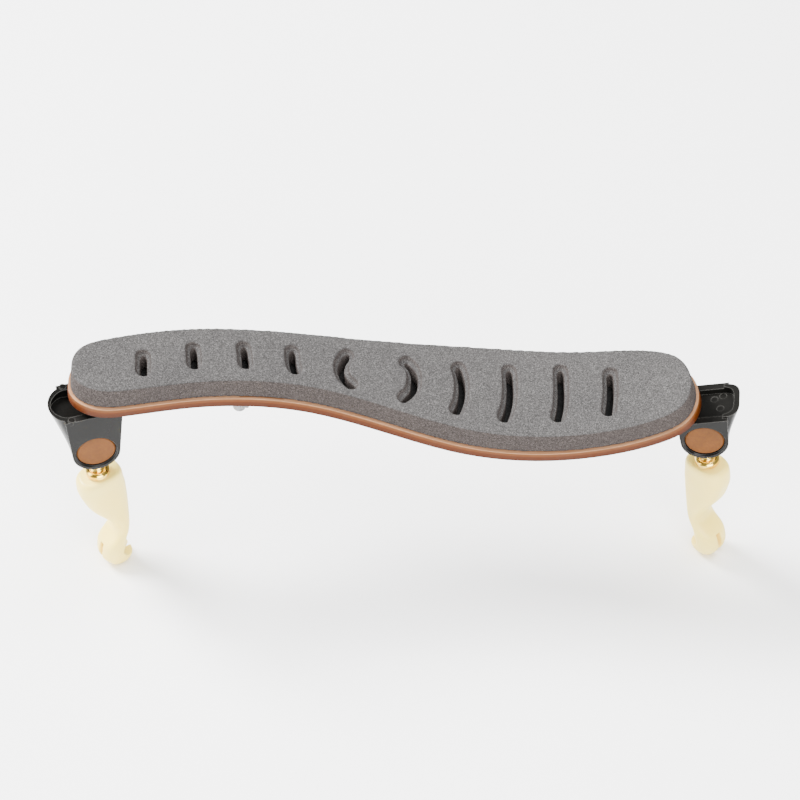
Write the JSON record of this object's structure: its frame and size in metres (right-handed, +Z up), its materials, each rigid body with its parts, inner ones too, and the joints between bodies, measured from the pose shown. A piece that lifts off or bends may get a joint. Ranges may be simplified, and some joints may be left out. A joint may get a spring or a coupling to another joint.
{
  "type": "violin shoulder rest",
  "caption": "Adjustable violin shoulder rest: curved wooden base with a slotted foam pad, clamped black end brackets, tilting barrels, brass spindles and cream claw feet.",
  "frame": {"origin": "centre of the overall box at the level of the feet's soles", "axes": "+X from the chest end to the shoulder end, +Y towards the violin's scroll, +Z up from the feet to the pad"},
  "size_m": [0.2075, 0.0364, 0.0899],
  "materials": {
    "foam": "open-cell foam, speckled grey",
    "liner": "black adhesive sheet",
    "base_wood": "bent laminated wood, satin tan stain",
    "bracket_plastic": "glossy black moulded plastic",
    "barrel_wood": "matt tan wood dowel",
    "brass": "polished brass",
    "steel": "plain steel",
    "washer": "black fibre washer",
    "foot_plastic": "cream moulded plastic, satin"
  },
  "bodies": {
    "base": {"base_plate": "base_wood", "pad_liner": "liner", "foam_pad": "foam", "left_clamp_bolt": "steel", "left_base_bush": "brass", "left_friction_washer": "washer", "right_clamp_bolt": "steel", "right_base_bush": "brass", "right_friction_washer": "washer"},
    "left_slot_guide_body": {"left_slot_guide": "brass"},
    "left_bracket_body": {"left_bracket": "bracket_plastic"},
    "left_clamp_washer_body": {"left_clamp_washer": "steel"},
    "left_thumb_nut_body": {"left_thumb_nut": "steel"},
    "left_spindle_body": {"left_spindle": "brass"},
    "left_foot_body": {"left_foot": "foot_plastic"},
    "left_barrel_body": {"left_barrel": "barrel_wood", "left_barrel_bush": "brass"},
    "right_slot_guide_body": {"right_slot_guide": "brass"},
    "right_bracket_body": {"right_bracket": "bracket_plastic"},
    "right_clamp_washer_body": {"right_clamp_washer": "steel"},
    "right_thumb_nut_body": {"right_thumb_nut": "steel"},
    "right_spindle_body": {"right_spindle": "brass"},
    "right_foot_body": {"right_foot": "foot_plastic"},
    "right_barrel_body": {"right_barrel": "barrel_wood", "right_barrel_bush": "brass"}
  },
  "joints": [
    {"name": "left_swivel", "type": "hinge", "parent": "base", "child": "left_slot_guide_body", "pos_m": [-0.04635, 0.00707, 0.07], "axis": [0.1187, 0.0274, 0.9925], "range_deg": [-10, 10]},
    {"name": "left_arm_slide", "type": "slide", "parent": "left_slot_guide_body", "child": "left_bracket_body", "axis": [-0.9671, -0.2233, 0.1219], "range_m": [-0.005, 0.005]},
    {"name": "left_nut_travel", "type": "slide", "parent": "base", "child": "left_clamp_washer_body", "axis": [0.1187, 0.0274, 0.9925], "range_m": [-0.0014, 0]},
    {"name": "left_nut_turn", "type": "hinge", "parent": "left_clamp_washer_body", "child": "left_thumb_nut_body", "pos_m": [-0.04635, 0.00707, 0.07], "axis": [0.1187, 0.0274, 0.9925], "range_deg": [-735, 15]},
    {"name": "left_barrel_tilt", "type": "hinge", "parent": "left_bracket_body", "child": "left_barrel_body", "pos_m": [-0.09172, -0.00341, 0.06], "axis": [0.225, -0.9744, 0], "range_deg": [-15, 70]},
    {"name": "left_foot_height", "type": "slide", "parent": "left_barrel_body", "child": "left_spindle_body", "axis": [-0.051, -0.0118, 0.9986], "range_m": [-0.004, 0.005]},
    {"name": "left_foot_turn", "type": "hinge", "parent": "left_spindle_body", "child": "left_foot_body", "pos_m": [-0.0908, -0.0032, 0.04197], "axis": [-0.051, -0.0118, 0.9986], "range_deg": [-1455, 1815]},
    {"name": "right_swivel", "type": "hinge", "parent": "base", "child": "right_slot_guide_body", "pos_m": [0.0685, -0.00001, 0.06176], "axis": [-0.2563, 0.036, 0.9659], "range_deg": [-10, 10]},
    {"name": "right_arm_slide", "type": "slide", "parent": "right_slot_guide_body", "child": "right_bracket_body", "axis": [0.9565, -0.1344, 0.2588], "range_m": [-0.005, 0.005]},
    {"name": "right_nut_travel", "type": "slide", "parent": "base", "child": "right_clamp_washer_body", "axis": [-0.2563, 0.036, 0.9659], "range_m": [-0.0014, 0]},
    {"name": "right_nut_turn", "type": "hinge", "parent": "right_clamp_washer_body", "child": "right_thumb_nut_body", "pos_m": [0.0685, -0.00001, 0.06176], "axis": [-0.2563, 0.036, 0.9659], "range_deg": [-735, 15]},
    {"name": "right_barrel_tilt", "type": "hinge", "parent": "right_bracket_body", "child": "right_barrel_body", "pos_m": [0.09268, -0.00341, 0.0595], "axis": [0.1392, 0.9903, 0], "range_deg": [-15, 45]},
    {"name": "right_foot_height", "type": "slide", "parent": "right_barrel_body", "child": "right_spindle_body", "axis": [-0.119, 0.0167, 0.9928], "range_m": [-0.004, 0.005]},
    {"name": "right_foot_turn", "type": "hinge", "parent": "right_spindle_body", "child": "right_foot_body", "pos_m": [0.09476, -0.0037, 0.04213], "axis": [-0.119, 0.0167, 0.9928], "range_deg": [-1455, 1815]}
  ],
  "couplings": [
    {"joint": "left_nut_turn", "follows": "left_nut_travel", "rad_per_m": 8976},
    {"joint": "left_foot_turn", "follows": "left_foot_height", "rad_per_m": 6283.2},
    {"joint": "right_nut_turn", "follows": "right_nut_travel", "rad_per_m": 8976},
    {"joint": "right_foot_turn", "follows": "right_foot_height", "rad_per_m": 6283.2}
  ]
}
